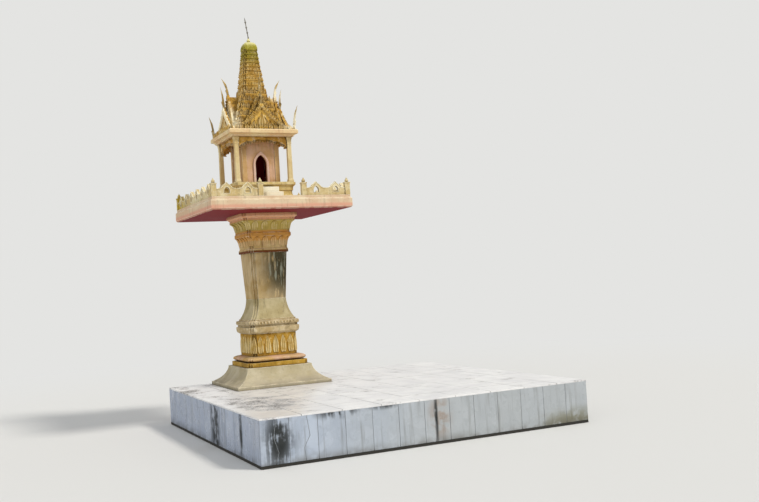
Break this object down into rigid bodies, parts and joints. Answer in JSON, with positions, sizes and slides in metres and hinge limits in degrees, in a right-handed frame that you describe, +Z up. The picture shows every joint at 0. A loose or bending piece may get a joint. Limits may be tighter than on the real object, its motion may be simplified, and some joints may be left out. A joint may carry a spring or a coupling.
{
  "type": "spirit house",
  "caption": "Cast concrete shrine with porch columns, cross-gabled roof and prang spire, on a terrace carried by a moulded pedestal on a square tiled plinth.",
  "frame": {"origin": "centre of the plinth's underside, on the ground", "axes": "+X to the right along the plinth's front, +Y to the back, +Z up; the doorway faces -Y"},
  "size_m": [2.68, 2.84, 3.7351],
  "materials": {
    "masonry": "rendered brick and mortar core",
    "glazed_tile": "pale blue-grey glazed tiles, stained and cracked",
    "cream_paint": "weathered cream paint on cast concrete",
    "pink_cream_paint": "weathered pink-cream paint on cast concrete",
    "ochre_paint": "aged ochre-gold paint on cast concrete",
    "gold_paint": "aged gold paint on cast concrete relief",
    "finial_metal": "dull gilded rod"
  },
  "bodies": {
    "root": {"plinth_core": "masonry", "plinth_side_tiles": "glazed_tile", "plinth_top_tiles": "glazed_tile", "pedestal_foot": "cream_paint", "pedestal_gold_band": "gold_paint", "pedestal_roll": "pink_cream_paint", "pedestal_drum": "gold_paint", "pedestal_cornice": "cream_paint", "pedestal_neck": "cream_paint", "pedestal_shaft": "cream_paint", "pedestal_capital": "ochre_paint", "terrace_slab": "pink_cream_paint", "balustrade_left": "cream_paint", "balustrade_right": "cream_paint", "balustrade_back": "cream_paint", "balustrade_front_left": "cream_paint", "balustrade_front_right": "cream_paint", "balustrade_posts": "cream_paint", "gate_posts": "cream_paint", "entrance_steps": "cream_paint", "house_base": "cream_paint", "chamber_pilasters": "cream_paint", "front_wall": "pink_cream_paint", "back_wall": "pink_cream_paint", "left_wall": "pink_cream_paint", "right_wall": "pink_cream_paint", "door_frame": "gold_paint", "porch_columns": "cream_paint", "front_fringe": "ochre_paint", "back_fringe": "ochre_paint", "left_fringe": "ochre_paint", "right_fringe": "ochre_paint", "eave_slab": "cream_paint", "eave_corner_horns": "gold_paint", "tiered_roof": "ochre_paint", "front_lower_gable": "gold_paint", "back_lower_gable": "gold_paint", "left_lower_gable": "gold_paint", "right_lower_gable": "gold_paint", "front_upper_gable": "gold_paint", "back_upper_gable": "gold_paint", "left_upper_gable": "gold_paint", "right_upper_gable": "gold_paint", "gable_horns": "gold_paint", "tier_antefixes": "gold_paint", "spire_skirt": "ochre_paint", "prang_shaft": "ochre_paint", "prang_antefixes": "gold_paint", "prang_cap": "gold_paint", "lotus_bud": "cream_paint", "metal_finial": "finial_metal"}
  },
  "joints": []
}
